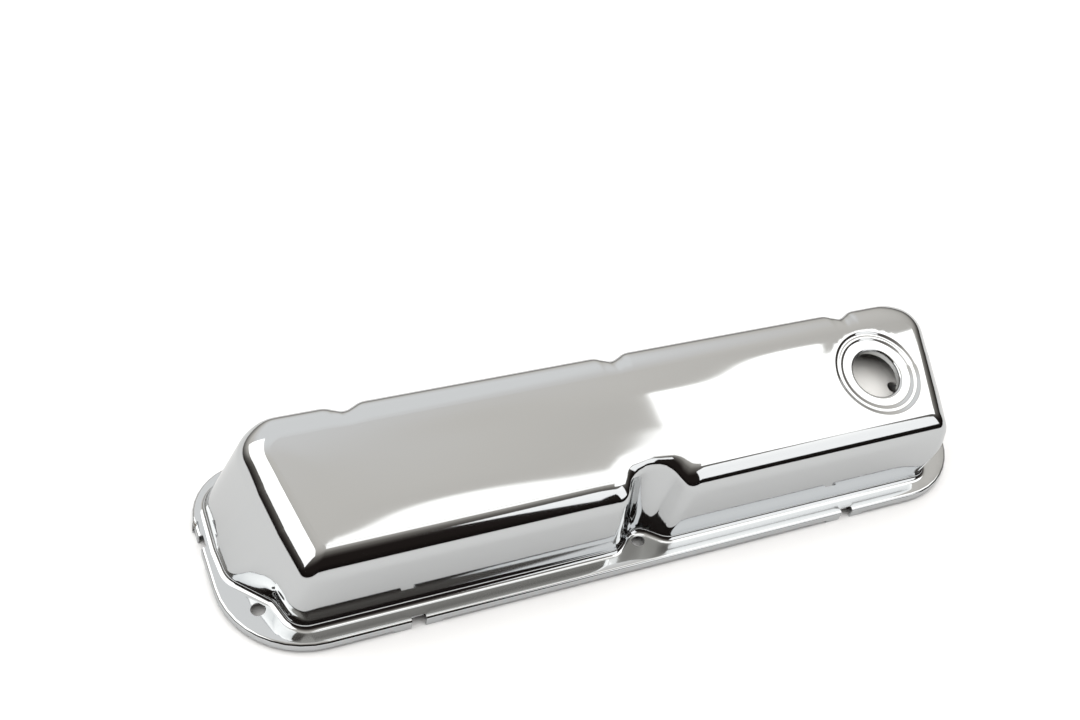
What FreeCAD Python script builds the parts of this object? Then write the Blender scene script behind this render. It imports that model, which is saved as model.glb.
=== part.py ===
"""Engine valve cover: one pressed steel sheet with a gasket flange, and the oil baffle inside it.

+Z is up, +X runs toward the oil filler end and +Y toward the taller long wall.
The origin is under the middle of the flange, level with the ears that the cover stands on.
All sizes are in millimetres.
"""
import FreeCAD, Part
import math
import os

V = FreeCAD.Vector

# Sheet and gasket flange. The length is measured across the far corners before they are
# rounded, and each end of the flange is narrower by the taper on the near side
SHEET = 1.0
LENGTH = 480.0
WIDTH = 124.7
END_TAPER = 6.0
NEAR_CORNER = 50.0
FAR_CORNER = 34.0
LIP_DEPTH = 5.2
LIP_BEND = 1.8
EAR_DROP = 2.0
EAR_WIDTH = 9.5
NOTCH_WIDTH = 8.0
NEAR_NOTCH_X = 136.8
FAR_NOTCH_X = 79.0
END_NOTCH_Y = 15.3
FAR_GAP_X = 106.5
FAR_GAP_WIDTH = 27.0
MID_GAP_WIDTH = 28.0

# Flat land of the flange between its edge and the foot of the walls
NEAR_LAND = 11.55
FAR_LAND = 12.55
END_LAND = 10.0
FOOT_RADIUS = 4.0

# Bolt holes, measured in from the flange edges
HOLE_RADIUS = 4.0
FAR_HOLE_INSET = 8.55
FAR_HOLE_END_INSET = 82.2
NEAR_HOLE_INSET = 15.25
END_HOLE_X_INSET = 24.0
END_HOLE_Y_INSET = 29.05

# Sloping top panel: its height over the flange at the middle, and its rise toward +Y
PANEL_HEIGHT = 64.1
PANEL_SLOPE = 0.255
PANEL_EDGE_RADIUS = 8.0

# Lean of each wall: how far it moves inward for each millimetre of height
NEAR_LEAN = 0.035
FAR_LEAN = 0.204
END_LEAN = 0.205

# Corners of the walls in plan
FAR_CORNER_RADIUS = 18.0

# Near corners, cut back round the bolts. Each corner of the plan has its inset from the end
# wall, its distance from the near wall and its radius, at the foot and then at the roof
SCALLOPS = (
    ((29.0, 0.0, 12.0), (24.0, 0.0, 12.0)),
    ((22.5, 19.3, 13.0), (17.0, 8.0, 13.0)),
    ((0.6, 40.5, 16.0), (10.0, 20.0, 20.0)),
)

# Bolt recesses in the long walls: depth, half width, radius of the bottom and of the shoulders,
# at the foot and then at the roof
FAR_RECESS = ((9.0, 19.0, 9.0, 14.0), (3.76, 7.94, 9.0, 14.0))
NEAR_RECESS = ((12.6, 15.5, 10.0, 11.0), (36.7, 30.1, 18.1, 15.6))

# Oil filler: a shallow seat in the panel and a collar turned down round the hole
FILLER_END_INSET = 64.0
FILLER_Y = -8.5
FILLER_RADIUS = 15.5
FILLER_SEAT_RADIUS = 27.8
FILLER_SEAT_FLOOR = 24.0
FILLER_SEAT_DEPTH = 1.8
COLLAR_DEPTH = 4.0
COLLAR_BEND = 1.5

# Oil baffle under the filler hole
BAFFLE_SHEET = 1.0
BAFFLE_HEIGHT = 45.8
BAFFLE_SLOPE = 0.1
BAFFLE_LEFT_OF_HOLE = 76.3
BAFFLE_RIGHT_OF_HOLE = 31.6
BAFFLE_WING_INSET = 33.0
BAFFLE_WING_START_Y = -3.0
BAFFLE_WING_END_Y = -12.0
BAFFLE_NEAR_CHAMFER = 13.0
BAFFLE_CORNER = 4.0
BAFFLE_CLEARANCE = 0.5
BAFFLE_NEAR_CLEARANCE = 2.0
BAFFLE_CUTOUT_DEPTH = 14.5
BAFFLE_CUTOUT_HALF = 16.5
BAFFLE_CUTOUT_RADIUS = 9.0
TAB_WIDTH = 12.7
TAB_LENGTH = 17.0
TAB_BEND = 1.6
TAB_ROOT = 4.8
TAB_EDGE_INSET = 1.0
RIBS = ((36.5, 8.0, -40.0), (15.5, 1.0, -12.0))
RIB_RADIUS = 3.0
RIB_TIP = 6.0
DRAIN_HOLES = ((101.5, -11.0, 4.0), (25.5, -21.0, 1.75))

# Levels and walls that follow from the sizes
FLANGE_TOP = LIP_DEPTH + EAR_DROP
HALF_LENGTH = LENGTH / 2
HALF_WIDTH = WIDTH / 2
NEAR_FOOT_Y = NEAR_LAND - HALF_WIDTH
FAR_FOOT_Y = HALF_WIDTH - FAR_LAND
END_FOOT_X = HALF_LENGTH - END_LAND
PANEL_Z = FLANGE_TOP + PANEL_HEIGHT
PANEL_ANGLE = math.degrees(math.atan(PANEL_SLOPE))
ROOF = PANEL_Z + PANEL_SLOPE * HALF_WIDTH
FAR_HOLE_X = HALF_LENGTH - FAR_HOLE_END_INSET
FAR_HOLE_Y = HALF_WIDTH - FAR_HOLE_INSET
NEAR_HOLE_Y = NEAR_HOLE_INSET - HALF_WIDTH
END_HOLE_X = HALF_LENGTH - END_HOLE_X_INSET
END_HOLE_Y = END_HOLE_Y_INSET - HALF_WIDTH
FILLER_X = END_FOOT_X - FILLER_END_INSET
BAFFLE_LEFT = FAR_HOLE_X - BAFFLE_LEFT_OF_HOLE
BAFFLE_RIGHT = FAR_HOLE_X + BAFFLE_RIGHT_OF_HOLE
BAFFLE_WING = END_FOOT_X - BAFFLE_WING_INSET
SAME_PLACE = 0.01


def between(foot, roof, share):
    """Sizes at a share of the way from the foot of the walls to their roof."""
    return [low + (high - low) * share for low, high in zip(foot, roof)]


def recess(centre, foot_y, inward, sizes, share, blended):
    """Three corners of a bolt recess in a long wall, from its +X shoulder to its -X one."""
    depth, half_width, bottom, shoulder = between(*sizes, share)
    corners = [((centre + half_width, foot_y), shoulder, blended)]
    corners.append(((centre, foot_y + inward * depth), bottom, blended))
    corners.append(((centre - half_width, foot_y), shoulder, blended))
    return corners


def wall_plan(height):
    """Plan of the walls at a height: corners as (point, radius, blended later)."""
    rise = height - FLANGE_TOP
    share = rise / (ROOF - FLANGE_TOP)
    near = NEAR_FOOT_Y + NEAR_LEAN * rise
    far = FAR_FOOT_Y - FAR_LEAN * rise
    end = END_FOOT_X - END_LEAN * rise
    half = recess(0.0, near, 1, NEAR_RECESS, share, False)[1::-1]
    for foot, roof in SCALLOPS:
        inset, away, radius = between(foot, roof, share)
        half.append(((end - inset, near + away), radius, False))
    half.append(((end, far), FAR_CORNER_RADIUS, True))
    half += recess(FAR_HOLE_X, far, -1, FAR_RECESS, share, True)
    half += recess(0.0, far, -1, FAR_RECESS, share, True)[:2]
    left = [((-x, y), radius, blended) for (x, y), radius, blended in reversed(half[1:-1])]
    return half + left


def offset_corners(plan, grow):
    """Move each side of a closed plan outward, and return its corners with their directions."""
    count = len(plan)
    lines = []
    for i in range(count):
        (x0, y0), (x1, y1) = plan[i][0], plan[(i + 1) % count][0]
        length = math.hypot(x1 - x0, y1 - y0)
        dx, dy = (x1 - x0) / length, (y1 - y0) / length
        lines.append((x0 + dy * grow, y0 - dx * grow, dx, dy))
    corners = []
    for i in range(count):
        x0, y0, ax, ay = lines[i - 1]
        x1, y1, bx, by = lines[i]
        cross = ax * by - ay * bx
        along = ((x1 - x0) * by - (y1 - y0) * bx) / cross
        turn = math.atan2(cross, ax * bx + ay * by)
        radius = plan[i][1] + math.copysign(grow, cross)
        corners.append((x0 + ax * along, y0 + ay * along, turn, radius, (ax, ay), (bx, by)))
    return corners


def corner_arc(start, corner, end, turn, slope):
    """Arc between two sides of a plan: a circle on a level plane, its image on a sloping one."""
    if slope == 0:
        chord = (start + end) * 0.5
        height = (end - start).Length / 2 * math.tan(abs(turn) / 4)
        return Part.Arc(start, chord + (corner - chord).normalize() * height, end).toShape()
    curve = Part.BSplineCurve()
    weights = [1.0, math.cos(turn / 2), 1.0]
    curve.buildFromPolesMultsKnots([start, corner, end], [3, 3], [0.0, 1.0], False, 2, weights)
    return curve.toShape()


def plan_edges(plan, grow, height, slope=0.0):
    """Lines and rounded corners of a plan on the plane z = height + slope * y.

    A corner that is blended later stays sharp. Its point is returned with its radius.
    """
    def on_plane(x, y):
        return V(x, y, height + slope * y)

    rounds, starts, ends, sharp = [], [], [], []
    corners = offset_corners(plan, grow)
    for (x, y, turn, radius, a, b), (_, _, blended) in zip(corners, plan):
        if blended:
            rounds.append(None)
            starts.append(on_plane(x, y))
            ends.append(on_plane(x, y))
            sharp.append((on_plane(x, y), radius))
            continue
        reach = abs(radius * math.tan(turn / 2))
        start = on_plane(x - a[0] * reach, y - a[1] * reach)
        end = on_plane(x + b[0] * reach, y + b[1] * reach)
        rounds.append(corner_arc(start, on_plane(x, y), end, turn, slope))
        starts.append(start)
        ends.append(end)
    edges = []
    for i in range(len(plan)):
        if rounds[i]:
            edges.append(rounds[i])
        edges.append(Part.LineSegment(ends[i], starts[(i + 1) % len(plan)]).toShape())
    return edges, sharp


def wall_face(low, high):
    """Join two matching edges by a flat face where they are in one plane, else by a ruled one."""
    if low.Curve.TypeId == "Part::GeomLine":
        corners = [low.Vertexes[0].Point, low.Vertexes[1].Point]
        corners += [high.Vertexes[1].Point, high.Vertexes[0].Point]
        normal = (corners[1] - corners[0]).cross(corners[3] - corners[0]).normalize()
        if abs((corners[2] - corners[0]).dot(normal)) < SAME_PLACE / 100:
            return Part.Face(Part.makePolygon(corners + [corners[0]]))
    return Part.makeRuledSurface(low, high)


def solid_between(low_edges, high_edges):
    """Make the solid that has one rounded plan as its floor and another as its roof."""
    faces = [wall_face(low, high) for low, high in zip(low_edges, high_edges)]
    faces.append(Part.Face(Part.Wire(low_edges)))
    faces.append(Part.Face(Part.Wire(high_edges)))
    shell = Part.makeShell(faces)
    shell.sewShape()
    solid = Part.makeSolid(shell)
    if solid.Volume < 0:
        solid.reverse()
    return solid


def middle(edge):
    return edge.valueAt((edge.FirstParameter + edge.LastParameter) / 2)


def edges_at(solid, wanted):
    """Find the edges of a solid that lie where the wanted edges lie."""
    places = [middle(edge) for edge in wanted]
    found = []
    for edge in solid.Edges:
        point = middle(edge)
        if any((point - place).Length < SAME_PLACE for place in places):
            found.append(edge)
    return found


def edges_on_level(solid, level):
    edges = []
    for edge in solid.Edges:
        box = edge.BoundBox
        if abs(box.ZMin - level) < SAME_PLACE and abs(box.ZMax - level) < SAME_PLACE:
            edges.append(edge)
    return edges


def flange_outline(inset, height):
    """Outline of the flange: wider on the far side, with a larger radius at the near corners."""
    near_x = HALF_LENGTH - END_TAPER
    plan = [((near_x, -HALF_WIDTH), NEAR_CORNER, False)]
    plan.append(((HALF_LENGTH, HALF_WIDTH), FAR_CORNER, False))
    plan += [((-x, y), radius, blended) for (x, y), radius, blended in reversed(plan)]
    return plan_edges(plan, -inset, height)[0]


def blend_corners(solid, low_points, high_points):
    """Round the slanted edges of the walls, all edges of one radius together."""
    by_radius = {}
    for (low, radius), (high, _) in zip(low_points, high_points):
        by_radius.setdefault(round(radius, 3), []).append((low + high) * 0.5)
    for radius, places in by_radius.items():
        edges = [edge for edge in solid.Edges
                 if any((middle(edge) - place).Length < SAME_PLACE for place in places)]
        solid = solid.makeFillet(radius, edges)
    return solid


def pressed_form(inset, floor):
    """One skin of the pressing as a solid: flange block, raised body and the fillets between.

    The outer skin has an inset of 0. The inner one lies one sheet inside and below it.
    """
    level = FLANGE_TOP - inset
    rim = flange_outline(inset, level)
    block = Part.Face(Part.Wire(rim)).extrude(V(0, 0, floor - level))
    foot, foot_points = plan_edges(wall_plan(level), -inset, level)
    roof, roof_points = plan_edges(wall_plan(ROOF), -inset, ROOF)
    body = blend_corners(solid_between(foot, roof), foot_points, roof_points)
    drop = inset * math.sqrt(1 + PANEL_SLOPE ** 2)
    above = Part.makeBox(2 * LENGTH, 2 * LENGTH, ROOF, V(-LENGTH, -LENGTH, 0))
    above.rotate(V(0, 0, 0), V(1, 0, 0), PANEL_ANGLE)
    above.translate(V(0, 0, PANEL_Z - drop))
    body = body.cut(above)
    panel = max(body.Faces, key=lambda face: face.CenterOfMass.z)
    body = body.makeFillet(PANEL_EDGE_RADIUS - inset, panel.OuterWire.Edges)
    around = edges_on_level(body, level)
    form = block.fuse(body).removeSplitter()
    form = form.makeFillet(FOOT_RADIUS + inset, edges_at(form, around))
    if inset:
        return form
    return form.makeFillet(LIP_BEND, edges_at(form, rim))


def on_panel(solid, x, y, drop=0.0):
    """Place a solid made about the Z axis on the panel, square to it."""
    placed = solid.copy()
    placed.rotate(V(0, 0, 0), V(1, 0, 0), PANEL_ANGLE)
    normal = V(0, -PANEL_SLOPE, 1).normalize()
    placed.translate(V(x, y, PANEL_Z + PANEL_SLOPE * y) - normal * drop)
    return placed


def filler_seat(grow):
    """The shallow round seat as a solid that reaches above the panel."""
    flare = FILLER_SEAT_RADIUS - FILLER_SEAT_FLOOR
    top_radius = FILLER_SEAT_RADIUS + grow + flare
    height = 2 * FILLER_SEAT_DEPTH
    seat = Part.makeCone(FILLER_SEAT_FLOOR + grow, top_radius, height)
    seat.translate(V(0, 0, -FILLER_SEAT_DEPTH))
    return seat


def box_at(x, y, size_x, size_y, bottom, top):
    return Part.makeBox(size_x, size_y, top - bottom, V(x - size_x / 2, y - size_y / 2, bottom))


def lip_openings():
    """Notches, gaps in the far lip, and the strip below the lip that leaves only the ears."""
    reach = 2 * NEAR_LAND
    under = FLANGE_TOP - SHEET
    cuts = []
    ears = []
    places = [(side * NEAR_NOTCH_X, -HALF_WIDTH) for side in (-1, 1)]
    places += [(side * FAR_NOTCH_X, HALF_WIDTH) for side in (-1, 1)]
    for x, y in places:
        cuts.append(box_at(x, y, NOTCH_WIDTH, reach, -SHEET, under))
        ears.append(box_at(x, y, NOTCH_WIDTH + 2 * EAR_WIDTH, reach, -SHEET, EAR_DROP))
    for side in (-1, 1):
        cuts.append(box_at(side * HALF_LENGTH, END_NOTCH_Y, reach, NOTCH_WIDTH, -SHEET, under))
        ear_size = NOTCH_WIDTH + 2 * EAR_WIDTH
        ears.append(box_at(side * HALF_LENGTH, END_NOTCH_Y, reach, ear_size, -SHEET, EAR_DROP))
    for x, width in ((-FAR_GAP_X, FAR_GAP_WIDTH), (0.0, MID_GAP_WIDTH), (FAR_GAP_X, FAR_GAP_WIDTH)):
        cuts.append(box_at(x, HALF_WIDTH, width, reach, -SHEET, under))
    strip = box_at(0, 0, 2 * LENGTH, 2 * WIDTH, -SHEET, EAR_DROP)
    cuts.append(strip.cut(Part.makeCompound(ears)))
    return cuts


def bolt_places():
    places = [(x, FAR_HOLE_Y) for x in (-FAR_HOLE_X, 0.0, FAR_HOLE_X)]
    places.append((0.0, NEAR_HOLE_Y))
    places += [(x, END_HOLE_Y) for x in (-END_HOLE_X, END_HOLE_X)]
    return places


def cover_shell():
    """The pressed cover: the outer form less the inner one, then the holes and the lip."""
    outer = pressed_form(0.0, 0.0)
    inner = pressed_form(SHEET, -SHEET)
    outer = outer.cut(on_panel(filler_seat(0.0), FILLER_X, FILLER_Y))
    inner = inner.cut(on_panel(filler_seat(SHEET / 2), FILLER_X, FILLER_Y, SHEET))
    shell = outer.cut(inner)
    depth = SHEET + COLLAR_DEPTH
    collar = Part.makeCylinder(FILLER_RADIUS + SHEET, depth, V(0, 0, -depth))
    drop = FILLER_SEAT_DEPTH
    shell = shell.fuse(on_panel(collar, FILLER_X, FILLER_Y, drop))
    bore = Part.makeCylinder(FILLER_RADIUS, 4 * depth, V(0, 0, -2 * depth))
    shell = shell.cut(on_panel(bore, FILLER_X, FILLER_Y, drop))
    mouth = Part.makeCone(FILLER_RADIUS, FILLER_RADIUS + COLLAR_BEND, COLLAR_BEND)
    mouth.translate(V(0, 0, -COLLAR_BEND))
    shell = shell.cut(on_panel(mouth, FILLER_X, FILLER_Y, drop))
    for x, y in bolt_places():
        shell = shell.cut(Part.makeCylinder(HOLE_RADIUS, FLANGE_TOP * 2, V(x, y, 0)))
    for cut in lip_openings():
        shell = shell.cut(cut)
    return shell


def inner_wall_y(foot_y, lean, height):
    """Y of the inner face of a long wall at a height."""
    side = math.copysign(1.0, foot_y)
    return foot_y - side * (SHEET + lean * (height - FLANGE_TOP))


def baffle_z(y):
    """Height of the underside of the baffle plate."""
    return FLANGE_TOP + BAFFLE_HEIGHT + BAFFLE_SLOPE * y


def baffle_tab(centre, foot_y, lean):
    """A tab that turns down from the plate and lies flat on a long wall."""
    side = math.copysign(1.0, foot_y)
    high = baffle_z(foot_y) + BAFFLE_SHEET
    low = high - TAB_LENGTH
    outer_high = V(0, inner_wall_y(foot_y, lean, high), high)
    outer_low = V(0, inner_wall_y(foot_y, lean, low), low)
    inward = V(0, -side * BAFFLE_SHEET, 0)
    root_y = outer_high.y - side * TAB_ROOT
    root = V(0, root_y, baffle_z(root_y) + BAFFLE_SHEET)
    root_low = V(0, root_y, baffle_z(root_y))
    crease = outer_high + inward
    crease = V(0, crease.y, baffle_z(crease.y))
    profile = [root, outer_high, outer_low, outer_low + inward, crease, root_low, root]
    face = Part.Face(Part.makePolygon(profile))
    tab = face.extrude(V(TAB_WIDTH, 0, 0))
    tab.translate(V(centre - TAB_WIDTH / 2, 0, 0))
    bends = []
    for edge in tab.Edges:
        point = middle(edge)
        if (point - outer_high - V(centre, 0, 0)).Length < SAME_PLACE:
            bends.append(edge)
    return tab.makeFillet(TAB_BEND, bends)


def rib(x, far_y, near_y):
    """A rounded rib pressed up out of the baffle plate along Y."""
    start = V(x, far_y, baffle_z(far_y))
    end = V(x, near_y, baffle_z(near_y))
    direction = end - start
    solids = []
    for radius in (RIB_RADIUS, RIB_RADIUS - BAFFLE_SHEET):
        bar = Part.makeCylinder(radius, direction.Length, start, direction)
        for place, away in ((start, direction * -1), (end, direction)):
            bar = bar.fuse(Part.makeCone(radius, 0, RIB_TIP * radius / RIB_RADIUS, place, away))
        solids.append(bar.removeSplitter())
    return solids


def oil_baffle():
    """The pressed plate under the filler hole, with tabs on both long walls."""
    far_edge = inner_wall_y(FAR_FOOT_Y, FAR_LEAN, baffle_z(FAR_FOOT_Y)) - BAFFLE_CLEARANCE
    near_edge = inner_wall_y(NEAR_FOOT_Y, NEAR_LEAN, baffle_z(NEAR_FOOT_Y)) + BAFFLE_NEAR_CLEARANCE
    cut = BAFFLE_CUTOUT_HALF
    plan = [
        ((BAFFLE_LEFT, near_edge), BAFFLE_CORNER, False),
        ((BAFFLE_WING - BAFFLE_NEAR_CHAMFER, near_edge), BAFFLE_CORNER, False),
        ((BAFFLE_WING, near_edge + BAFFLE_NEAR_CHAMFER), BAFFLE_CORNER, False),
        ((BAFFLE_WING, BAFFLE_WING_END_Y), BAFFLE_CORNER, False),
        ((BAFFLE_RIGHT, BAFFLE_WING_START_Y), BAFFLE_CORNER, False),
        ((BAFFLE_RIGHT, far_edge), BAFFLE_CORNER, False),
        ((FAR_HOLE_X + cut, far_edge), BAFFLE_CORNER, False),
        ((FAR_HOLE_X, far_edge - BAFFLE_CUTOUT_DEPTH), BAFFLE_CUTOUT_RADIUS, False),
        ((FAR_HOLE_X - cut, far_edge), BAFFLE_CORNER, False),
        ((BAFFLE_LEFT, far_edge), BAFFLE_CORNER, False),
    ]
    outline, _ = plan_edges(plan, 0.0, FLANGE_TOP + BAFFLE_HEIGHT, BAFFLE_SLOPE)
    plate = Part.Face(Part.Wire(outline)).extrude(V(0, 0, BAFFLE_SHEET))
    for x, far_y, near_y in RIBS:
        ridge, groove = rib(BAFFLE_LEFT + x, far_y, near_y)
        plate = plate.fuse(ridge).cut(groove)
    below = Part.Face(Part.Wire(outline)).extrude(V(0, 0, -RIB_TIP))
    plate = plate.cut(below)
    reach = TAB_WIDTH / 2 + TAB_EDGE_INSET
    for centre in (BAFFLE_LEFT + reach, BAFFLE_RIGHT - reach):
        plate = plate.fuse(baffle_tab(centre, FAR_FOOT_Y, FAR_LEAN))
        plate = plate.fuse(baffle_tab(centre, NEAR_FOOT_Y, NEAR_LEAN))
    for x, y, radius in DRAIN_HOLES:
        plate = plate.cut(Part.makeCylinder(radius, PANEL_Z, V(BAFFLE_LEFT + x, y, 0)))
    return plate.removeSplitter()


def main():
    os.makedirs("parts", exist_ok=True)
    for name, solid in (("cover_shell", cover_shell()), ("oil_baffle", oil_baffle())):
        size = solid.BoundBox
        print(name, solid.isValid(), len(solid.Solids), round(solid.Volume),
              [round(v, 2) for v in (size.XMin, size.XMax, size.YMin, size.YMax, size.ZMin, size.ZMax)])
        solid.exportStep("parts/" + name + ".step")


main()
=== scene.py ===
"""Chromed engine valve cover with its oil baffle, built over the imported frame."""
import math

import bmesh
import bpy
import numpy as np
from mathutils import Matrix, Vector
from mathutils.geometry import delaunay_2d_cdt


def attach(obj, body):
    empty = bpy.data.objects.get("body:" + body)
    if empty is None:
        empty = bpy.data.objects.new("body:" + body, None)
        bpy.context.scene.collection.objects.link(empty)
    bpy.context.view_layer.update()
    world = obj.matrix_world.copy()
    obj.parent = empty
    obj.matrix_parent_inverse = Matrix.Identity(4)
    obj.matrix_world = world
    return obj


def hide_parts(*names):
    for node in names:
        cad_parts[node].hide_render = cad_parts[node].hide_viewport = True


bl_info = {
    "name": "Engine valve cover",
    "version": (1, 0, 0),
    "blender": (4, 5, 0),
    "location": "3D View > Sidebar > Valve cover",
    "description": "Builds a pressed and chromed engine valve cover and its studio",
    "category": "Object",
}

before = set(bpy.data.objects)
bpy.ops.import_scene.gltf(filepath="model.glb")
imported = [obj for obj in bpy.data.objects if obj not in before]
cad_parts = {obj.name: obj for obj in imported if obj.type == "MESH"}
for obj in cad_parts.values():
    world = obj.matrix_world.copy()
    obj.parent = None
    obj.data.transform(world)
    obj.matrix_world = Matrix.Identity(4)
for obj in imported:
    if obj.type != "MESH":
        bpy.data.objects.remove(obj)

MM = 0.001

# Flange before its corners are rounded: half length and half width, and how much shorter each
# end of the near side is
HALF_LENGTH = 239.0
HALF_WIDTH = 62.35
END_TAPER = 6.0

# Lip notches, the ears beside them and the gaps in the far lip, in millimetres. A point nearer
# than the border to a long side belongs to that side
NOTCH_HALF = 4.0
NOTCH_BITE = 1.2
EAR_REACH = 13.5
NEAR_NOTCH_X = 136.8
FAR_NOTCH_X = 79.0
END_NOTCH_Y = 15.3
FAR_GAP_X = 106.5
FAR_GAP_HALF = 13.5
MID_GAP_HALF = 14.0
SIDE_BORDER = 4.0

# Plan of half the body at three levels, as corners (x, y, radius) from the near recess round the
# +X end to the middle of the far wall: the foot of the walls, the panel's edge if it were sharp,
# and the line inside that edge where its rounding meets the panel. The full near end is how the
# foot would run if the walls had no hollow over the end bolt holes
FOOT_PLAN = (
    (0.0, -39.8, 8.0), (6.0, -43.0, 12.0), (15.5, -50.8, 11.0),
    (201.0, -50.8, 12.0), (207.5, -31.5, 13.0), (228.0, -11.5, 16.0), (230.0, 8.0, 40.0),
    (230.6, 49.8, 16.0),
    (176.8, 49.8, 14.0), (157.8, 40.8, 9.0), (138.8, 49.8, 14.0),
    (19.0, 49.8, 14.0), (0.0, 40.8, 9.0),
)
FULL_NEAR_END = ((213.0, -50.8, 10.0), (218.0, -36.0, 40.0), (223.5, -20.0, 60.0))
EDGE_PLAN = (
    (0.0, -32.2, 25.0), (13.5, -36.0, 12.0), (19.5, -49.0, 10.0),
    (196.5, -49.0, 7.0), (200.0, -37.0, 40.0), (203.8, -23.0, 60.0), (209.3, 0.0, 80.0),
    (219.2, 36.6, 18.0),
    (166.7, 36.6, 14.0), (157.8, 32.3, 9.0), (148.9, 36.6, 14.0),
    (8.9, 36.6, 14.0), (0.0, 32.3, 9.0),
)
PANEL_PLAN = (
    (0.0, -29.5, 30.0), (17.5, -31.5, 14.0), (26.0, -38.3, 10.0),
    (187.5, -38.3, 3.0), (189.1, -32.0, 4.0), (191.4, -23.6, 30.0), (197.7, 0.0, 60.0),
    (203.1, 21.4, 7.0),
    (166.7, 21.4, 14.0), (157.8, 21.1, 9.0), (148.9, 21.4, 14.0),
    (8.9, 21.4, 14.0), (0.0, 21.1, 9.0),
)

# The roof of the pressing sits a little further toward the filler end than its foot
ROOF_SHIFT = 2.5

# The hollows over the end bolt holes fade out between these shares of the wall's height
HOLLOW_FADE = (0.06, 0.6)

# Rounding between walls and panel: how full its curve is, and where its reach changes from the
# near to the far side (y), toward the ends (x) and out of the near recess (x)
EDGE_FULLNESS = 0.7
SIDE_BLEND = (-30.0, 30.0)
END_BLEND = (190.0, 206.0)
RECESS_BLEND = (-30.0, -12.0)

# The panel bulges a little: its slope at the border and how far in the bulge reaches
CROWN_SLOPE = 0.035
CROWN_REACH = 26.0

# Two crossing trains of slow waves in the panel: steps along and across for one radian, phase and
# share of the height. They fade out near the border and the filler seat
PANEL_WAVES = ((31.0, 24.0, 0.6, 1.0), (43.0, -21.0, 2.1, 0.7))
WAVE_FADE = 20.0

# The flange sags toward its edge: its slope there and how far in the sag reaches
SAG_SLOPE = 0.05
SAG_REACH = 4.0

# Bolt holes through the flange
BOLT_PLACES = ((-157.8, 53.8), (0.0, 53.8), (157.8, 53.8),
               (0.0, -47.1), (-216.0, -33.3), (216.0, -33.3))
BOLT_HOLE_RADIUS = 4.0

# Filler seat from the panel inward: distance inside its outer radius, share of its depth. Inside
# it, the collar: the gap between seat and roll, the radius of the roll and the drop below it
SEAT_RINGS = ((-1.2, 0.0), (-0.6, 0.022), (0.0, 0.144), (0.8, 0.44), (1.6, 0.6), (2.4, 0.55),
              (3.3, 0.52), (4.1, 0.62), (4.8, 0.84), (5.5, 0.98), (6.2, 1.0))
COLLAR_GAP = 0.8
COLLAR_ROLL = 1.7
COLLAR_DROP = 2.9

# Spacing of the mesh, in millimetres and steps. Grid points keep this share of their spacing
# from a border, closer points are joined, and sharper edges than this angle stay crisp
RUN_STEP = 5.0
PANEL_STEP = 3.2
FLANGE_STEP = 3.0
CORNER_STEPS = 10
BEND_STEPS = 8
EDGE_STEPS = 14
WALL_STEPS = 18
COLLAR_STEPS = 6
BOLT_HOLE_STEPS = 28
FILLER_STEPS = 72
BORDER_SHARE = 0.55
JOIN_DISTANCE = 0.002
SHARP_ANGLE = 38.0


def sheet_colour(code):
    """Turn an sRGB hex colour into linear RGBA."""
    values = [int(code[i:i + 2], 16) / 255 for i in (1, 3, 5)]
    linear = [v / 12.92 if v <= 0.04045 else ((v + 0.055) / 1.055) ** 2.4 for v in values]
    return (*linear, 1.0)


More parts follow.
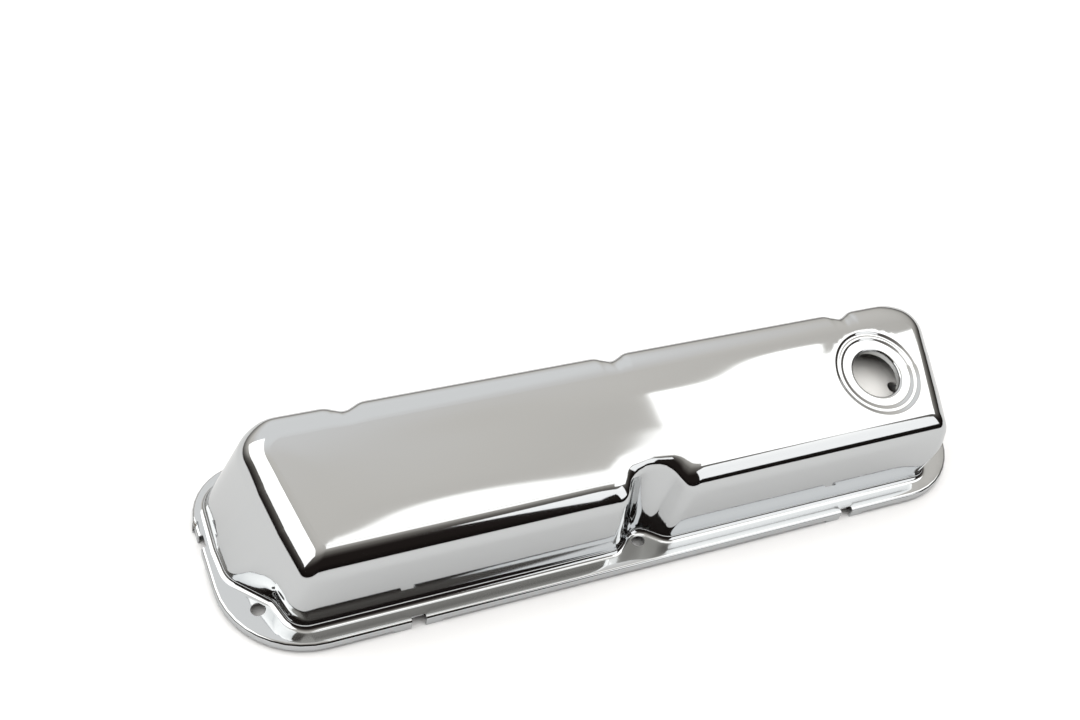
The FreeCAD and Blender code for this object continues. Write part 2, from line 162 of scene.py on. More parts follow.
class CoverSizes(bpy.types.PropertyGroup):
    """Sizes of the pressed cover."""

    sheet: bpy.props.FloatProperty(
        name="Sheet", description="Thickness of the steel sheet",
        default=1.0 * MM, unit="LENGTH", precision=4)
    near_corner: bpy.props.FloatProperty(
        name="Near corner", description="Radius of the flange at the bolt corners",
        default=50.0 * MM, unit="LENGTH", precision=4)
    far_corner: bpy.props.FloatProperty(
        name="Far corner", description="Radius of the flange at the far corners",
        default=34.0 * MM, unit="LENGTH", precision=4)
    lip_depth: bpy.props.FloatProperty(
        name="Lip depth", description="Depth of the turned-down lip below the flange top",
        default=5.2 * MM, unit="LENGTH", precision=4)
    lip_bend: bpy.props.FloatProperty(
        name="Lip bend", description="Radius of the bend between flange and lip",
        default=1.8 * MM, unit="LENGTH", precision=4)
    ear_drop: bpy.props.FloatProperty(
        name="Ear drop", description="How far the ears reach below the lip",
        default=2.0 * MM, unit="LENGTH", precision=4)
    foot_radius: bpy.props.FloatProperty(
        name="Foot radius", description="Radius of the bend between flange and walls",
        default=4.0 * MM, unit="LENGTH", precision=4)
    panel_height: bpy.props.FloatProperty(
        name="Panel height", description="Height of the top panel over the flange at its middle",
        default=64.1 * MM, unit="LENGTH", precision=4)
    panel_slope: bpy.props.FloatProperty(
        name="Panel slope", description="Rise of the top panel toward the far wall", default=0.255)
    edge_reach: bpy.props.FloatProperty(
        name="Edge reach", description="How far down the near wall the rounding starts",
        default=12.0 * MM, unit="LENGTH", precision=4)
    far_edge_reach: bpy.props.FloatProperty(
        name="Far edge reach", description="How far down the far wall the rounding starts",
        default=7.0 * MM, unit="LENGTH", precision=4)
    end_edge_reach: bpy.props.FloatProperty(
        name="End edge reach", description="How far down the end walls the rounding starts",
        default=13.0 * MM, unit="LENGTH", precision=4)
    recess_edge_reach: bpy.props.FloatProperty(
        name="Recess edge reach", description="How far down the near recess the rounding starts",
        default=6.0 * MM, unit="LENGTH", precision=4)
    waviness: bpy.props.FloatProperty(
        name="Waviness", description="Height of the slow waves that pressing leaves in the panel",
        default=0.2 * MM, unit="LENGTH", precision=5)
    filler_x: bpy.props.FloatProperty(
        name="Filler X", description="Place of the oil filler hole along the cover",
        default=166.0 * MM, unit="LENGTH", precision=4)
    filler_y: bpy.props.FloatProperty(
        name="Filler Y", description="Place of the oil filler hole across the cover",
        default=-8.5 * MM, unit="LENGTH", precision=4)
    filler_radius: bpy.props.FloatProperty(
        name="Filler radius", description="Radius of the oil filler hole",
        default=15.5 * MM, unit="LENGTH", precision=4)
    seat_radius: bpy.props.FloatProperty(
        name="Seat radius", description="Outer radius of the seat round the filler hole",
        default=27.8 * MM, unit="LENGTH", precision=4)
    seat_depth: bpy.props.FloatProperty(
        name="Seat depth", description="Depth of the seat below the panel",
        default=1.8 * MM, unit="LENGTH", precision=4)


class CoverColours(bpy.types.PropertyGroup):
    """Colours of the finishes."""

    chrome: bpy.props.FloatVectorProperty(
        name="Chrome", description="Colour that the chrome plating gives its reflections",
        subtype="COLOR", size=4, min=0.0, max=1.0, default=sheet_colour("#CBCDCE"))
    inside: bpy.props.FloatVectorProperty(
        name="Inside plating", description="Dull plating inside the cover",
        subtype="COLOR", size=4, min=0.0, max=1.0, default=sheet_colour("#6E6963"))
    baffle: bpy.props.FloatVectorProperty(
        name="Baffle sheet", description="Pale zinc plating of the baffle",
        subtype="COLOR", size=4, min=0.0, max=1.0, default=sheet_colour("#F4F3F0"))
    floor: bpy.props.FloatVectorProperty(
        name="Floor", description="White seamless floor",
        subtype="COLOR", size=4, min=0.0, max=1.0, default=sheet_colour("#E2E2E2"))


def unit(vectors):
    return vectors / np.linalg.norm(vectors, axis=-1, keepdims=True)


def rounded_loop(corners):
    """Points of a closed plan with an arc at each corner (x, y, radius)."""
    points = []
    count = len(corners)
    for i in range(count):
        here = np.array(corners[i][:2])
        back = unit(np.array(corners[i - 1][:2]) - here)
        ahead = unit(np.array(corners[(i + 1) % count][:2]) - here)
        half = math.acos(np.clip(back @ ahead, -1, 1)) / 2
        radius = corners[i][2]
        centre = here + unit(back + ahead) * radius / math.sin(half)
        start = here + back * radius / math.tan(half) - centre
        end = here + ahead * radius / math.tan(half) - centre
        points += list(centre + arc_between(start, end, CORNER_STEPS))
    return np.array(points)


def arc_between(start, end, steps):
    """Vectors that turn evenly from start to end."""
    cosine = np.sum(start * end, axis=-1, keepdims=True)
    cosine = cosine / np.linalg.norm(start, axis=-1, keepdims=True) ** 2
    angle = np.arccos(np.clip(cosine, -1, 1))
    shares = np.linspace(0, 1, steps + 1)
    return np.array([(np.sin((1 - s) * angle) * start + np.sin(s * angle) * end) / np.sin(angle)
                     for s in shares])


def divide_runs(leader, followers, step):
    """Divide each long side of the leading loop, and the same sides of the loops that follow."""
    loops = [leader] + followers
    result = [[] for _ in loops]
    count = len(leader)
    for i in range(count):
        after = (i + 1) % count
        parts = max(1, round(float(np.linalg.norm(leader[after] - leader[i])) / step))
        for j in range(parts):
            for points, loop in zip(result, loops):
                points.append(loop[i] + (loop[after] - loop[i]) * (j / parts))
    return [np.array(points) for points in result]


def whole_plan(half):
    """Both halves of a plan, as a closed loop of points."""
    return rounded_loop(list(half) + [(-x, y, radius) for x, y, radius in reversed(half[1:-1])])


def loop_tangents(loop):
    """Direction along a closed loop at each point, true on arcs with uneven steps."""
    back = loop - np.roll(loop, 1, axis=0)
    ahead = np.roll(loop, -1, axis=0) - loop
    back_length = np.linalg.norm(back, axis=1, keepdims=True)
    ahead_length = np.linalg.norm(ahead, axis=1, keepdims=True)
    return unit(back / back_length * ahead_length + ahead / ahead_length * back_length)


def bend(corner, toward_a, toward_b, radius, steps):
    """Rings of a round bend at a corner line, from its side a to its side b."""
    angle = np.arccos(np.clip(np.sum(toward_a * toward_b, axis=1, keepdims=True), -1, 1))
    reach = radius / np.tan(angle / 2)
    return soft_bend(corner, toward_a * reach, toward_b * reach, np.sin(angle / 2), steps)


def soft_bend(corner, to_a, to_b, fullness, steps):
    """Rings of a conic bend between two points beside a corner line, round or fuller or flatter."""
    rings = []
    for share in np.linspace(0, 1, steps + 1):
        near, mid, far = (1 - share) ** 2, 2 * share * (1 - share) * fullness, share ** 2
        rings.append(corner + (near * to_a + far * to_b) / (near + mid + far))
    return rings


class SkinMesh:
    """Vertices and faces of the outer skin, in millimetres."""

    def __init__(self):
        self.points = []
        self.faces = []

    def add_points(self, points):
        first = len(self.points)
        self.points += [tuple(point) for point in points]
        return first

    def add_rings(self, rings, keep=None):
        """Join closed rings by quads. keep tells which side of each ring row is made."""
        count = len(rings[0])
        starts = [self.add_points(ring) for ring in rings]
        for row in range(len(rings) - 1):
            low, high = starts[row], starts[row + 1]
            for i in range(count):
                j = (i + 1) % count
                if keep is None or keep(row, i):
                    self.faces.append((low + i, low + j, high + j, high + i))

    def add_filled(self, outer, holes, spacing, lift):
        """Fill a flat region between loops with triangles, then lift its points into place."""
        points = [Vector(point) for point in outer]
        edges = [(i, (i + 1) % len(outer)) for i in range(len(outer))]
        for hole in holes:
            first = len(points)
            points += [Vector(point) for point in hole]
            edges += [(first + i, first + (i + 1) % len(hole)) for i in range(len(hole))]
        inner = grid_inside(outer, holes, spacing)
        points += [Vector(point) for point in inner]
        flat, _, triangles, *_ = delaunay_2d_cdt(points, edges, [], 1, 1e-5)
        flat = np.array([tuple(point) for point in flat])
        first = self.add_points(lift(flat))
        middles = np.array([flat[list(triangle)].mean(axis=0) for triangle in triangles])
        inside = in_loop(middles, outer)
        for hole in holes:
            inside &= ~in_loop(middles, hole)
        for triangle, wanted in zip(triangles, inside):
            if wanted:
                self.faces.append(tuple(first + i for i in triangle))


def in_loop(points, loop):
    """Tell which points lie inside a closed loop."""
    inside = np.zeros(len(points), bool)
    x, y = points[:, 0], points[:, 1]
    for (x0, y0), (x1, y1) in zip(loop, np.roll(loop, -1, axis=0)):
        crosses = (y0 > y) != (y1 > y)
        if y1 != y0:
            inside ^= crosses & (x < x0 + (x1 - x0) * (y - y0) / (y1 - y0))
    return inside


def distance_to(points, loop):
    """Distance of each point from the nearest side of a closed loop."""
    nearest = np.full(len(points), np.inf)
    for start, end in zip(loop, np.roll(loop, -1, axis=0)):
        side = end - start
        share = np.clip(((points - start) @ side) / max(side @ side, 1e-12), 0, 1)
        away = np.linalg.norm(points - start - share[:, None] * side, axis=1)
        nearest = np.minimum(nearest, away)
    return nearest


def grid_inside(outer, holes, spacing):
    """Staggered grid of points inside a loop, clear of its sides and of the holes."""
    low, high = outer.min(axis=0), outer.max(axis=0)
    rows = np.arange(low[1], high[1], spacing * math.sqrt(3) / 2)
    points = []
    for number, y in enumerate(rows):
        shift = spacing / 2 if number % 2 else 0.0
        points += [(x, y) for x in np.arange(low[0] + shift, high[0], spacing)]
    points = np.array(points)
    clear = spacing * BORDER_SHARE
    keep = in_loop(points, outer) & (distance_to(points, outer) > clear)
    for hole in holes:
        keep &= ~in_loop(points, hole) & (distance_to(points, hole) > clear)
    return points[keep]


def flange_loop(inset, sizes):
    """Outline of the flange, with points at the edges of each notch, ear and gap."""
    near, far = sizes.near_corner / MM - inset, sizes.far_corner / MM - inset
    near_x = HALF_LENGTH - END_TAPER
    taper = math.hypot(END_TAPER, 2 * HALF_WIDTH)
    side = inset * taper / (2 * HALF_WIDTH)
    slide = END_TAPER / (2 * HALF_WIDTH) * inset
    corners = [(near_x - side + slide, -HALF_WIDTH + inset, near),
               (HALF_LENGTH - side - slide, HALF_WIDTH - inset, far)]
    corners += [(-x, y, radius) for x, y, radius in reversed(corners)]
    loop = rounded_loop(corners)
    steps = CORNER_STEPS + 1
    points = []
    breaks_near = sorted(s * (NEAR_NOTCH_X + d) for s in (-1, 1)
                         for d in (-EAR_REACH, -NOTCH_HALF, NOTCH_HALF, EAR_REACH))
    breaks_far = [s * (FAR_NOTCH_X + d) for s in (-1, 1)
                  for d in (-EAR_REACH, -NOTCH_HALF, NOTCH_HALF)]
    breaks_far += [s * (FAR_GAP_X + d) for s in (-1, 1) for d in (-FAR_GAP_HALF, FAR_GAP_HALF)]
    breaks_far += [-MID_GAP_HALF, MID_GAP_HALF]
    breaks_end = [END_NOTCH_Y + d for d in (-EAR_REACH, -NOTCH_HALF, NOTCH_HALF, EAR_REACH)]
    for corner, breaks, axis in ((0, breaks_end, 1), (1, sorted(breaks_far, reverse=True), 0),
                                 (2, breaks_end[::-1], 1), (3, breaks_near, 0)):
        arc = loop[corner * steps:(corner + 1) * steps]
        points += list(arc)
        start, end = arc[-1], loop[((corner + 1) * steps) % len(loop)]
        shares = [(b - start[axis]) / (end[axis] - start[axis]) for b in breaks]
        points += [start + (end - start) * share for share in shares]
    return np.array(points)


def lip_kind(point):
    """Tell whether a place on the outline is in a notch, a gap, an ear or the plain lip."""
    x, y = abs(point[0]), point[1]
    if y < -HALF_WIDTH + SIDE_BORDER:
        offset = abs(x - NEAR_NOTCH_X)
    elif y > HALF_WIDTH - SIDE_BORDER:
        offset = abs(x - FAR_NOTCH_X)
        if abs(x - FAR_GAP_X) < FAR_GAP_HALF or x < MID_GAP_HALF:
            return "gap"
    else:
        offset = abs(y - END_NOTCH_Y)
    if offset < NOTCH_HALF:
        return "notch"
    return "ear" if offset < EAR_REACH else "lip"


def sag(from_edge):
    """How far the flange sags at a distance from its edge."""
    return SAG_SLOPE / (2 * SAG_REACH) * np.clip(SAG_REACH - from_edge, 0, None) ** 2


def at_height(loop, height):
    return np.column_stack([loop, np.full(len(loop), height)])


def add_lip(skin, sizes, flange_top):
    """Bend and lip of the flange, with notches and ears. Returns the outline of its flat part."""
    bend_radius = sizes.lip_bend / MM
    outline = flange_loop(0.0, sizes)
    inner = flange_loop(bend_radius, sizes)
    rings = []
    for step in range(BEND_STEPS // 2 + 1):
        turn = math.pi / 2 * step / (BEND_STEPS // 2)
        loop = inner + (outline - inner) * math.sin(turn)
        drop = sag(bend_radius) + bend_radius * (1 - math.cos(turn))
        rings.append(at_height(loop, flange_top - drop))
    rings.append(at_height(outline, sizes.ear_drop / MM))
    rings.append(at_height(outline, 0.0))
    middles = (outline + np.roll(outline, -1, axis=0)) / 2
    kinds = [lip_kind(point) for point in middles]
    bend_rows = len(rings) - 3

    def keep(row, i):
        if row < bend_rows:
            return kinds[i] != "notch"
        return kinds[i] == "ear" or (kinds[i] == "lip" and row == bend_rows)

    skin.add_rings(rings[::-1], lambda row, i: keep(len(rings) - 2 - row, i))
    deeper = flange_loop(bend_radius + NOTCH_BITE, sizes)
    border = []
    for i, kind in enumerate(kinds):
        border.append(inner[i])
        if kind == "notch":
            border += [deeper[i], deeper[(i + 1) % len(deeper)]]
    return np.array(border)


def circle(centre, radius, count):
    turns = np.linspace(0, 2 * math.pi, count, endpoint=False)
    return np.array(centre) + radius * np.column_stack([np.cos(turns), np.sin(turns)])


def panel_waves(points, border, seat, height):
    """Slow waves of the pressed panel, gone at its border and at the filler seat."""
    x, y = points[:, 0], points[:, 1]
    waves = sum(share * np.sin(x / along + y / across + phase)
                for along, across, phase, share in PANEL_WAVES)
    away = np.minimum(distance_to(points, border), distance_to(points, seat))
    return height * waves * smooth_step(away, 0.0, WAVE_FADE)


def add_body(skin, sizes, flange_top):
    """Foot bend, walls, edge rounding and top panel. Returns the plan loop of the foot."""
    slope = sizes.panel_slope
    panel_z = flange_top + sizes.panel_height / MM
    full_plan = FOOT_PLAN[:3] + FULL_NEAR_END + FOOT_PLAN[6:]
    plans = [whole_plan(plan) for plan in (FOOT_PLAN, full_plan, EDGE_PLAN, PANEL_PLAN)]
    plans[2:] = [plan + (ROOF_SHIFT, 0.0) for plan in plans[2:]]
    foot, full, edge, border = divide_runs(plans[0], plans[1:], RUN_STEP)
    inset = np.linalg.norm(edge - border, axis=1)
    low = CROWN_SLOPE * CROWN_REACH / 3
    foot = at_height(foot, flange_top)
    edge = np.column_stack([edge, panel_z + slope * edge[:, 1] - low - CROWN_SLOPE * inset])
    border = np.column_stack([border, panel_z + slope * border[:, 1] - low])
    fill = at_height(full, flange_top) - foot
    foot_tangent = loop_tangents(foot)
    outward = np.column_stack([foot_tangent[:, 1], -foot_tangent[:, 0], np.zeros(len(foot))])
    foot_rings = bend(foot, outward, unit(edge - foot), sizes.foot_radius / MM, BEND_STEPS)
    reach = edge_reach(edge, sizes)
    down_wall = -unit(edge - foot - fill) * reach
    edge_rings = soft_bend(edge, down_wall, border - edge, EDGE_FULLNESS, EDGE_STEPS)
    height = edge[:, 2:] - foot[:, 2:]
    start = (foot_rings[-1][:, 2:] - foot[:, 2:]) / height
    end = (edge_rings[0][:, 2:] - foot[:, 2:]) / height
    wall = []
    for share in np.linspace(0, 1, WALL_STEPS + 1)[1:-1]:
        rise = start + (end - start) * share
        hollow_gone = smooth_step(rise, *HOLLOW_FADE)
        wall.append(foot + (edge - foot) * rise + fill * (1 - rise) * hollow_gone)
    skin.add_rings(foot_rings + wall + edge_rings)
    add_panel(skin, sizes, edge_rings[-1], panel_z)
    return foot_rings[0][:, :2]


def smooth_step(values, low, high):
    """Share that rises softly from 0 at low to 1 at high."""
    share = np.clip((values - low) / (high - low), 0, 1)
    return share * share * (3 - 2 * share)


def edge_reach(edge, sizes):
    """How far down the wall the rounding of the panel's edge starts."""
    x, y = np.abs(edge[:, 0]), edge[:, 1]
    near, far = sizes.edge_reach / MM, sizes.far_edge_reach / MM
    reach = near + (far - near) * smooth_step(y, *SIDE_BLEND)
    reach += (sizes.end_edge_reach / MM - reach) * smooth_step(x, *END_BLEND)
    in_recess = smooth_step(-x, *RECESS_BLEND) * (y < 0)
    reach += in_recess * (sizes.recess_edge_reach / MM - reach)
    return reach[:, None]


def add_panel(skin, sizes, border, panel_z):
    """Top panel with its waves, the filler seat and the turned-down collar."""
    slope = sizes.panel_slope
    stretch = math.hypot(1, slope)

    def to_panel(points):
        return np.column_stack([points[:, 0], points[:, 1] * stretch])

    def lift(flat, depth=0.0, waves=True):
        heights = panel_waves(flat, edge, seat, sizes.waviness / MM) if waves else 0.0
        near_edge = 1 - np.clip(distance_to(flat, edge) / CROWN_REACH, 0, 1)
        heights = heights - depth - CROWN_SLOPE * CROWN_REACH / 3 * near_edge ** 3
        normal = np.array([0.0, -slope, 1.0]) / stretch
        y = flat[:, 1] / stretch
        return np.column_stack([flat[:, 0], y, panel_z + slope * y]) + np.outer(heights, normal)

    edge = to_panel(border[:, :2])
    centre = (sizes.filler_x / MM, sizes.filler_y / MM * stretch)
    profile = seat_profile(sizes)
    seat = circle(centre, profile[0][0], FILLER_STEPS)
    skin.add_filled(edge, [seat], PANEL_STEP, lift)
    rings = [lift(circle(centre, radius, FILLER_STEPS), depth, False) for radius, depth in profile]
    skin.add_rings(rings)


def seat_profile(sizes):
    """Radius and depth of the filler seat and collar, from the panel inward."""
    outer, hole = sizes.seat_radius / MM, sizes.filler_radius / MM
    depth = sizes.seat_depth / MM
    profile = [(outer - inside, depth * share) for inside, share in SEAT_RINGS]
    profile.append((hole + COLLAR_ROLL + COLLAR_GAP, depth))
    for step in range(COLLAR_STEPS + 1):
        turn = math.pi / 2 * step / COLLAR_STEPS
        profile.append((hole + COLLAR_ROLL * (1 - math.sin(turn)),
                        depth + COLLAR_ROLL * (1 - math.cos(turn))))
    profile.append((hole, depth + COLLAR_ROLL + COLLAR_DROP))
    return profile


def finish_sheet(skin, thickness, name, outside, inside):
    """Give the outer skin its thickness and make the object, in metres."""
    mesh = bpy.data.meshes.new(name)
    mesh.from_pydata(skin.points, [], skin.faces)
    merged = merge_points(mesh)
    count = len(merged.vertices)
    points = np.array([vertex.co[:] for vertex in merged.vertices])
    normals = np.array([vertex.normal[:] for vertex in merged.vertices])
    faces = [tuple(face.vertices) for face in merged.polygons]
    edge_use = {}
    for face in faces:
        for i, start in enumerate(face):
            edge = (start, face[(i + 1) % len(face)])
            edge_use[edge] = edge_use.get(edge, 0) + 1
    open_edges = [edge for edge in edge_use if (edge[1], edge[0]) not in edge_use]
    all_points = np.vstack([points, points - normals * thickness]) * MM
    back = [tuple(count + i for i in reversed(face)) for face in faces]
    rim = [(b, a, a + count, b + count) for a, b in open_edges]
    sheet = bpy.data.meshes.new(name)
    sheet.from_pydata(all_points.tolist(), [], faces + back + rim)
    sheet.materials.append(outside)
    sheet.materials.append(inside)
    slots = [0] * len(faces) + [1] * len(back) + [0] * len(rim)
    sheet.polygons.foreach_set("material_index", slots)
    sheet.shade_smooth()
    sheet.set_sharp_from_angle(angle=math.radians(SHARP_ANGLE))
    piece = bpy.data.objects.new(name, sheet)
    bpy.context.scene.collection.objects.link(piece)
    bpy.data.meshes.remove(mesh)
    return piece


def merge_points(mesh):
    """Join the points that two parts of the skin share."""
    work = bmesh.new()
    work.from_mesh(mesh)
    bmesh.ops.remove_doubles(work, verts=work.verts, dist=JOIN_DISTANCE)
    bmesh.ops.recalc_face_normals(work, faces=work.faces)
    if sum(face.normal.z * face.calc_area() for face in work.faces) < 0:
        bmesh.ops.reverse_faces(work, faces=work.faces)
    work.to_mesh(mesh)
    work.free()
    return mesh


def add_node(tree, kind, settings=None, **links):
    """Add a node, set its properties and values, and link its inputs to other sockets."""
    node = tree.nodes.new(kind)
    for key, value in (settings or {}).items():
        if key in node.inputs:
            node.inputs[key].default_value = value
        else:
            setattr(node, key, value)
    for key, socket in links.items():
        tree.links.new(socket, node.inputs[key.replace("_", " ")])
    return node


def new_material(name):
    material = bpy.data.materials.new(name)
    material.use_nodes = True
    tree = material.node_tree
    tree.nodes.clear()
    return material, tree


def chrome_plate(colours):
    """Decorative chrome over pressed and buffed steel."""
    # To the eye it is a cool grey mirror, a little soft from buffing, whose reflections swim on the
    # slow waves that the press leaves in the sheet, about a hand's width long
    material, tree = new_material("chrome_plate")
    place = add_node(tree, "ShaderNodeTexCoord")
    wave_length = 80 * MM
    waves = add_node(tree, "ShaderNodeTexNoise", {"Scale": 1 / wave_length, "Detail": 1.0},
                     Vector=place.outputs["Object"])
    ripple = add_node(tree, "ShaderNodeBump", {"Strength": 0.06, "Distance": 2.0 * MM},
                      Height=waves.outputs["Fac"])
    shader = add_node(tree, "ShaderNodeBsdfPrincipled",
                      {"Base Color": colours.chrome, "Metallic": 1.0, "Roughness": 0.062},
                      Normal=ripple.outputs["Normal"])
    add_node(tree, "ShaderNodeOutputMaterial", Surface=shader.outputs["BSDF"])
    return material


def dull_plating(colours):
    """Thin plating on the unbuffed inside of the drawn steel."""
    # To the eye it is a dark satin metal with a fine cloudy grain. The real grain of about 0.1 mm
    # would not show in the render, so it is drawn coarser
    material, tree = new_material("dull_plating")
    place = add_node(tree, "ShaderNodeTexCoord")
    grain = 0.9 * MM
    noise = add_node(tree, "ShaderNodeTexNoise", {"Scale": 1 / grain, "Detail": 3.0},
                     Vector=place.outputs["Object"])
    rough = add_node(tree, "ShaderNodeMapRange", {"To Min": 0.3, "To Max": 0.46},
                     Value=noise.outputs["Fac"])
    shader = add_node(tree, "ShaderNodeBsdfPrincipled",
                      {"Base Color": colours.inside, "Metallic": 1.0},
                      Roughness=rough.outputs["Result"])
    add_node(tree, "ShaderNodeOutputMaterial", Surface=shader.outputs["BSDF"])
    return material


def pale_zinc(colours):
    """Pale passivated zinc, dipped over sheet steel."""
    # To the eye the milky film is nearly white and matt, with only a trace of metal under it
    material, tree = new_material("pale_zinc")
    shader = add_node(tree, "ShaderNodeBsdfPrincipled",
                      {"Base Color": colours.baffle, "Metallic": 0.1, "Roughness": 0.45})
    add_node(tree, "ShaderNodeOutputMaterial", Surface=shader.outputs["BSDF"])
    return material


def require_node(name):
    """The frame's object for a part, or an error if the frame lacks it."""
    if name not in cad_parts:
        raise RuntimeError("The packed frame has no part named " + name)
    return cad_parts[name]


class COVER_OT_shell(bpy.types.Operator):
    """Build the pressed cover in place of its plain solid"""

    bl_idname = "valve_cover.shell"
    bl_label = "Pressed cover"

    def execute(self, context):
        require_node("cover_shell")
        sizes, colours = context.scene.cover_sizes, context.scene.cover_colours
        flange_top = (sizes.lip_depth + sizes.ear_drop) / MM
        skin = SkinMesh()
        inner = add_lip(skin, sizes, flange_top)
        foot = add_body(skin, sizes, flange_top)
        holes = [circle(place, BOLT_HOLE_RADIUS, BOLT_HOLE_STEPS) for place in BOLT_PLACES]
        edge = flange_loop(0.0, sizes)

        def lift(flat):
            return np.column_stack([flat, flange_top - sag(distance_to(flat, edge))])

        skin.add_filled(inner, [foot] + holes, FLANGE_STEP, lift)
        if not skin.faces:
            raise RuntimeError("The pressed cover has no faces")
        piece = finish_sheet(skin, sizes.sheet / MM, "pressed_cover",
                             chrome_plate(colours), dull_plating(colours))
        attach(piece, "root")
        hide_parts("cover_shell")
        return {"FINISHED"}


class COVER_OT_baffle(bpy.types.Operator):
    """Give the oil baffle its sheet finish"""

    bl_idname = "valve_cover.baffle"
    bl_label = "Oil baffle"

    def execute(self, context):
        baffle = require_node("oil_baffle")
        if not baffle.material_slots:
            raise RuntimeError("The oil baffle has no material to replace")
        sheet = pale_zinc(context.scene.cover_colours)
        for slot in baffle.material_slots:
            slot.material = sheet
        return {"FINISHED"}


# Direction in which the room brightens, and its colour at steps along that direction
ROOM_UP = (0.0, 0.65, 0.76)
ROOM_LEVELS = ((0.0, "#26211F"), (0.12, "#45403D"), (0.34, "#7E7A75"), (0.55, "#C9C5BF"),
               (0.8, "#E9E5DF"), (0.86, "#F2F0EE"), (0.92, "#FFFFFF"), (1.0, "#FFFFFF"))
# The walls of the room darken toward the floor: from this height as a sine, down to this share
WALL_TOP = 0.32
WALL_SHADE = 0.3
# Metres from the middle at which the floor starts to turn plain white to the camera, and is white
WHITE_FROM = 0.9
WHITE_BEYOND = 1.8
WHITE = sheet_colour("#FFFFFF")
FLOOR_REACH = 6.0

# Soft lamps: name, place, target, width, height, radiance, turn in their plane in degrees, and
# whether the chrome reflects them
CARDS = (
    ("right_card", (1.73, -0.26, 1.8), (1.73, -0.26, 0.0), 1.76, 1.08, 1.65, 0.0, True),
    ("near_card", (0.47, -0.21, 1.8), (0.47, -0.21, 0.0), 0.84, 0.46, 1.15, 7.0, True),
    ("side_card", (0.95, -1.2, 0.95), (0.1, 0.0, 0.05), 0.95, 1.15, 1.4, 0.0, True),
    ("left_card", (-1.35, 0.3, 1.35), (0.0, 0.0, 0.1), 2.0, 1.5, 1.7, 0.0, True),
    ("floor_lift", (0.0, 0.0, 2.4), (0.0, 0.0, 0.0), 3.4, 3.4, 0.85, 0.0, False),
)

# Camera: place, direction, roll in degrees and focal length in millimetres
CAMERA_PLACE = (-0.2907, -0.3645, 0.5877)
CAMERA_AHEAD = (0.3593, 0.5803, -0.7309)
CAMERA_ROLL = 14.07
CAMERA_LENS = 41.18
SENSOR_WIDTH = 36.0


def add_card(name, place, target, width, height, radiance, turn, seen):
    """A soft rectangular lamp that faces a target, set by its brightness."""
    lamp = bpy.data.lights.new(name, "AREA")
    lamp.shape = "RECTANGLE"
    lamp.size, lamp.size_y = width, height
    lamp.energy = radiance * math.pi * width * height
    card = bpy.data.objects.new(name, lamp)
    card.location = place
    card.rotation_euler = (Vector(target) - Vector(place)).to_track_quat("-Z", "Y").to_euler()
    card.rotation_euler.rotate_axis("Z", math.radians(turn))
    card.visible_glossy = seen
    card.visible_camera = False
    bpy.context.scene.collection.objects.link(card)


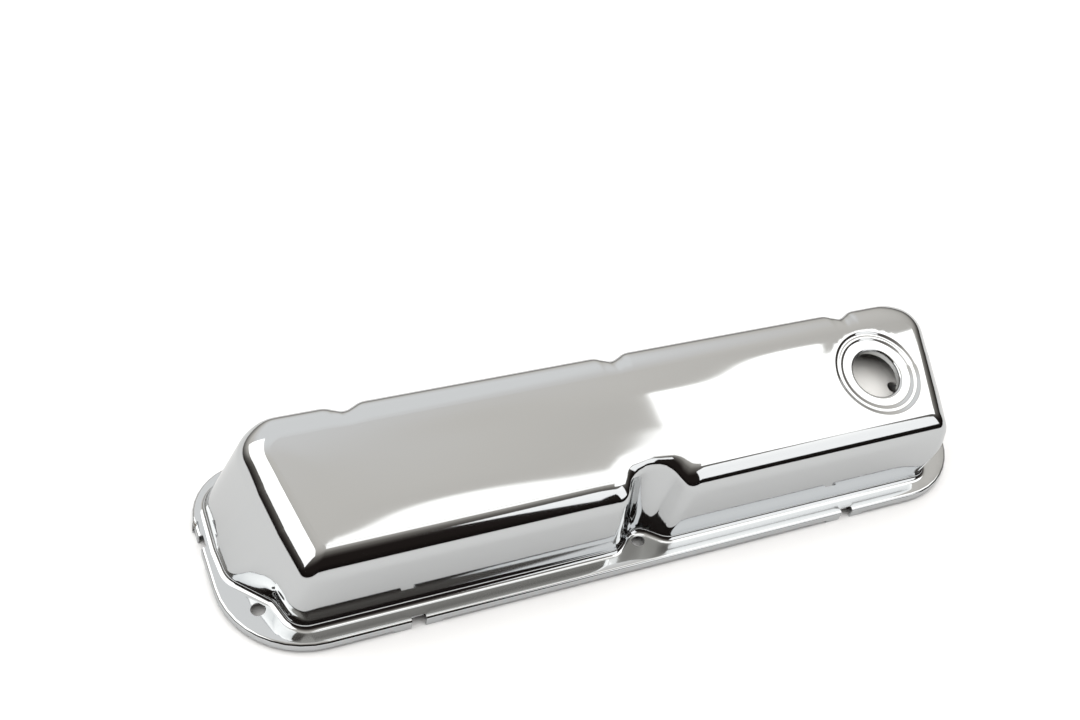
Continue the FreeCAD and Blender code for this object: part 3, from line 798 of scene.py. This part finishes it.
class COVER_OT_stage(bpy.types.Operator):
    """Set up the white floor, the soft lamps and the camera"""

    bl_idname = "valve_cover.stage"
    bl_label = "Studio"

    def execute(self, context):
        scene = context.scene
        scene.view_settings.view_transform = "Standard"
        self.add_floor(scene)
        self.add_lamps(scene)
        self.add_camera(scene)
        if scene.camera is None or scene.world is None:
            raise RuntimeError("The studio has no camera or no world")
        return {"FINISHED"}

    def add_floor(self, scene):
        """Floor of white paper, matt and without a sheen: the chrome sees it a little darker."""
        material, tree = new_material("white_sweep")
        path = add_node(tree, "ShaderNodeLightPath")
        colour = add_node(tree, "ShaderNodeMix", {"data_type": "RGBA"},
                          Factor=path.outputs["Is Camera Ray"])
        # The colour sockets of this node share their names with its number sockets
        colour.inputs[6].default_value = scene.cover_colours.floor
        colour.inputs[7].default_value = WHITE
        shader = add_node(tree, "ShaderNodeBsdfPrincipled",
                          {"Roughness": 0.9, "Specular IOR Level": 0.0},
                          Base_Color=colour.outputs[2])
        place = add_node(tree, "ShaderNodeTexCoord")
        away = add_node(tree, "ShaderNodeVectorMath", {"operation": "LENGTH"},
                        Vector=place.outputs["Object"])
        far = add_node(tree, "ShaderNodeMapRange",
                       {"From Min": WHITE_FROM, "From Max": WHITE_BEYOND},
                       Value=away.outputs["Value"])
        share = add_node(tree, "ShaderNodeMath", {"operation": "MULTIPLY"})
        tree.links.new(far.outputs["Result"], share.inputs[0])
        tree.links.new(path.outputs["Is Camera Ray"], share.inputs[1])
        white = add_node(tree, "ShaderNodeEmission", {"Color": WHITE, "Strength": 1.0})
        sweep = add_node(tree, "ShaderNodeMixShader", Fac=share.outputs["Value"])
        tree.links.new(shader.outputs["BSDF"], sweep.inputs[1])
        tree.links.new(white.outputs["Emission"], sweep.inputs[2])
        add_node(tree, "ShaderNodeOutputMaterial", Surface=sweep.outputs["Shader"])
        mesh = bpy.data.meshes.new("floor")
        corners = [(x * FLOOR_REACH, y * FLOOR_REACH, 0)
                   for x, y in ((-1, -1), (1, -1), (1, 1), (-1, 1))]
        mesh.from_pydata(corners, [], [(0, 1, 2, 3)])
        mesh.materials.append(material)
        floor = bpy.data.objects.new("floor", mesh)
        scene.collection.objects.link(floor)

    def add_lamps(self, scene):
        """Dim room that brightens upward and to the back, white to the camera, with soft cards."""
        world = bpy.data.worlds.new("studio")
        world.use_nodes = True
        tree = world.node_tree
        tree.nodes.clear()
        place = add_node(tree, "ShaderNodeTexCoord")
        height = add_node(tree, "ShaderNodeVectorMath", {"operation": "DOT_PRODUCT"})
        height.inputs[1].default_value = ROOM_UP
        tree.links.new(place.outputs["Generated"], height.inputs[0])
        level = add_node(tree, "ShaderNodeValToRGB", Fac=height.outputs["Value"])
        ramp = level.color_ramp
        ramp.elements[0].position, ramp.elements[0].color = 0.0, sheet_colour(ROOM_LEVELS[0][1])
        ramp.elements[1].position, ramp.elements[1].color = 1.0, sheet_colour(ROOM_LEVELS[-1][1])
        for position, code in ROOM_LEVELS[1:-1]:
            ramp.elements.new(position).color = sheet_colour(code)
        rise = add_node(tree, "ShaderNodeSeparateXYZ", Vector=place.outputs["Generated"])
        walls = add_node(tree, "ShaderNodeMapRange",
                         {"From Min": 0.0, "From Max": WALL_TOP,
                          "To Min": WALL_SHADE, "To Max": 1.0},
                         Value=rise.outputs["Z"])
        sky = add_node(tree, "ShaderNodeBackground", Color=level.outputs["Color"],
                       Strength=walls.outputs["Result"])
        white = add_node(tree, "ShaderNodeBackground", {"Color": WHITE, "Strength": 1.0})
        path = add_node(tree, "ShaderNodeLightPath")
        seen = add_node(tree, "ShaderNodeMixShader", Fac=path.outputs["Is Camera Ray"])
        tree.links.new(sky.outputs["Background"], seen.inputs[1])
        tree.links.new(white.outputs["Background"], seen.inputs[2])
        add_node(tree, "ShaderNodeOutputWorld", Surface=seen.outputs["Shader"])
        scene.world = world
        for card in CARDS:
            add_card(*card)

    def add_camera(self, scene):
        """Camera at the photograph's viewing angle."""
        lens = bpy.data.cameras.new("camera")
        lens.sensor_width = SENSOR_WIDTH
        lens.lens = CAMERA_LENS
        camera = bpy.data.objects.new("camera", lens)
        ahead = Vector(CAMERA_AHEAD).normalized()
        level = ahead.cross(Vector((0, 0, 1))).normalized()
        upright = level.cross(ahead)
        roll = math.radians(CAMERA_ROLL)
        right = level * math.cos(roll) + upright * math.sin(roll)
        up = upright * math.cos(roll) - level * math.sin(roll)
        turn = Matrix((right, up, -ahead)).transposed().to_4x4()
        camera.matrix_world = Matrix.Translation(CAMERA_PLACE) @ turn
        scene.collection.objects.link(camera)
        scene.camera = camera


class COVER_PT_panel(bpy.types.Panel):
    """Sizes, colours and build steps of the valve cover"""

    bl_idname = "COVER_PT_panel"
    bl_label = "Valve cover"
    bl_space_type = "VIEW_3D"
    bl_region_type = "UI"
    bl_category = "Valve cover"

    def draw(self, context):
        for group in (context.scene.cover_sizes, context.scene.cover_colours):
            box = self.layout.box()
            for key in group.__annotations__:
                box.prop(group, key)
        for operator in (COVER_OT_shell, COVER_OT_baffle, COVER_OT_stage):
            self.layout.operator(operator.bl_idname)


CLASSES = (CoverSizes, CoverColours, COVER_OT_shell, COVER_OT_baffle, COVER_OT_stage,
           COVER_PT_panel)


def register():
    for item in CLASSES:
        bpy.utils.register_class(item)
    bpy.types.Scene.cover_sizes = bpy.props.PointerProperty(type=CoverSizes)
    bpy.types.Scene.cover_colours = bpy.props.PointerProperty(type=CoverColours)


def unregister():
    del bpy.types.Scene.cover_colours
    del bpy.types.Scene.cover_sizes
    for item in reversed(CLASSES):
        bpy.utils.unregister_class(item)


def main():
    register()
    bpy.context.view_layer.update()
    bpy.ops.valve_cover.shell()
    bpy.ops.valve_cover.baffle()
    bpy.ops.valve_cover.stage()


if __name__ == "__main__":
    main()
